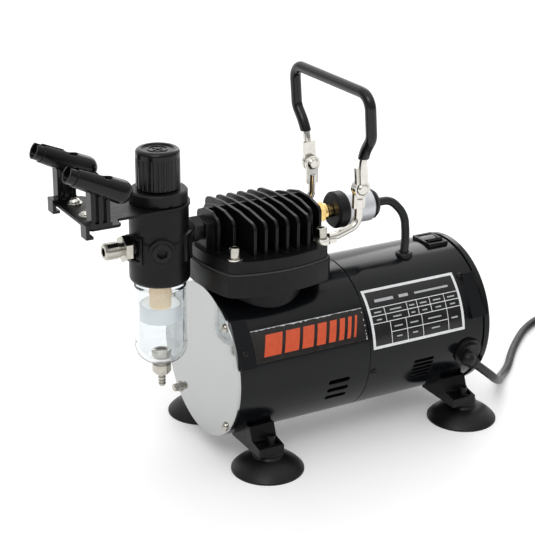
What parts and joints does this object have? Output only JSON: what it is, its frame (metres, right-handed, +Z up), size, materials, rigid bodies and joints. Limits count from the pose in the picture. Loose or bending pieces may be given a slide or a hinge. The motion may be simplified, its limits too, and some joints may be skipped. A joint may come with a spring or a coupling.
{
  "type": "airbrush compressor",
  "caption": "Small horizontal piston air compressor on suction cups, with a finned head, folding handle, regulator with moisture trap and a twin airbrush holder.",
  "frame": {"origin": "on the surface it stands on, under the middle of the compressor's box, without the loose cord", "axes": "+X towards the motor's rear end, -Y the labelled side, +Z up"},
  "size_m": [0.4877, 0.1417, 0.2307],
  "materials": {
    "body_black": "deep gloss black stove enamel",
    "cast_black": "satin black paint on die casting",
    "chrome_plate": "polished chrome plate",
    "nickel": "bright nickel-plated steel",
    "steel": "ground steel",
    "brass": "bright turned brass",
    "clear": "clear polycarbonate",
    "filter": "sintered beige filter",
    "white_plastic": "white moulded plastic",
    "black_gloss": "gloss black moulded plastic",
    "black_satin": "satin black moulded plastic",
    "rubber": "black rubber",
    "cord": "matt black PVC cord sheath",
    "vinyl": "black vinyl sleeve",
    "label_front": "printed sticker with an orange-red stripe pattern",
    "label_rating": "printed black sticker with a white frame and blank table",
    "silver_label": "silver-white sleeve",
    "gasket": "compressed gasket sheet",
    "lamination": "laminated electrical steel",
    "copper": "enamelled copper winding",
    "aluminium": "machined aluminium"
  },
  "bodies": {
    "frame": {"front_housing": "body_black", "motor_shell": "body_black", "rear_cap": "body_black", "end_plate": "chrome_plate", "plate_screws": "nickel", "housing_screws": "black_satin", "legs": "cast_black", "suction_cups": "rubber", "cylinder": "cast_black", "head_gasket": "gasket", "valve_plate": "steel", "cylinder_head": "cast_black", "head_bolts": "nickel", "head_washers": "nickel", "motor_bearings": "steel", "stator": "lamination", "stator_windings": "copper", "regulator_body": "cast_black", "ring_nut": "black_satin", "regulator_spring": "steel", "port_plug": "black_satin", "outlet_fitting": "chrome_plate", "inlet_nipple": "black_gloss", "bowl": "clear", "filter_element": "filter", "filter_stem": "white_plastic", "drain_body": "chrome_plate", "holder_plate": "cast_black", "holder_screws": "nickel", "cradle_left": "black_gloss", "cradle_right": "black_gloss", "handle_bracket_left": "nickel", "handle_bracket_right": "nickel", "pivot_rivets": "nickel", "switch_fitting": "brass", "pressure_switch_base": "black_satin", "pressure_switch_can": "silver_label", "pressure_switch_boot": "rubber", "switch_cable": "cord", "cable_grommet": "rubber", "rocker_bezel": "black_satin", "power_gland": "rubber", "power_cord": "cord", "cord_coil": "cord", "power_plug": "cord", "front_label": "label_front", "rating_label": "label_rating"},
    "handle": {"handle_rod": "nickel", "handle_sleeve": "vinyl"},
    "regulator_screw": {"adjusting_screw": "steel"},
    "knob": {"regulator_knob": "black_gloss"},
    "rocker": {"rocker": "black_gloss"},
    "drain_valve": {"drain_stem": "chrome_plate"},
    "motor": {"rotor": "lamination", "motor_shaft": "steel", "cooling_fan": "black_satin", "crank": "steel"},
    "rod": {"connecting_rod": "aluminium"},
    "piston": {"piston": "aluminium"}
  },
  "joints": [
    {"name": "handle_fold", "type": "hinge", "parent": "frame", "child": "handle", "pos_m": [0.0457, 0, 0.1657], "axis": [0, 1, 0], "range_deg": [-88, 95]},
    {"name": "knob_turn", "type": "hinge", "parent": "frame", "child": "regulator_screw", "pos_m": [-0.0753, 0, 0.18], "axis": [0, 0, 1], "range_deg": [-720, 720]},
    {"name": "knob_lift", "type": "slide", "parent": "regulator_screw", "child": "knob", "axis": [0, 0, 1], "range_m": [0, 0.0035]},
    {"name": "rocker_tilt", "type": "hinge", "parent": "frame", "child": "rocker", "pos_m": [0.1207, 0, 0.1074], "axis": [1, 0, 0], "range_deg": [0, 20]},
    {"name": "drain_press", "type": "slide", "parent": "frame", "child": "drain_valve", "axis": [0, 0, 1], "range_m": [0, 0.002], "stiffness_N_per_m": 300},
    {"name": "motor_spin", "type": "hinge", "parent": "frame", "child": "motor", "pos_m": [0, 0, 0.0605], "axis": [1, 0, 0], "continuous": true},
    {"name": "rod_swing", "type": "hinge", "parent": "motor", "child": "rod", "pos_m": [-0.0113, 0.005, 0.0605], "axis": [1, 0, 0], "continuous": true},
    {"name": "piston_slide", "type": "slide", "parent": "frame", "child": "piston", "axis": [0, 0, 1], "range_m": [-0.005, 0.005]}
  ],
  "couplings": [
    {"joint": "rod_swing", "follows": "motor_spin", "ratio": -1}
  ]
}
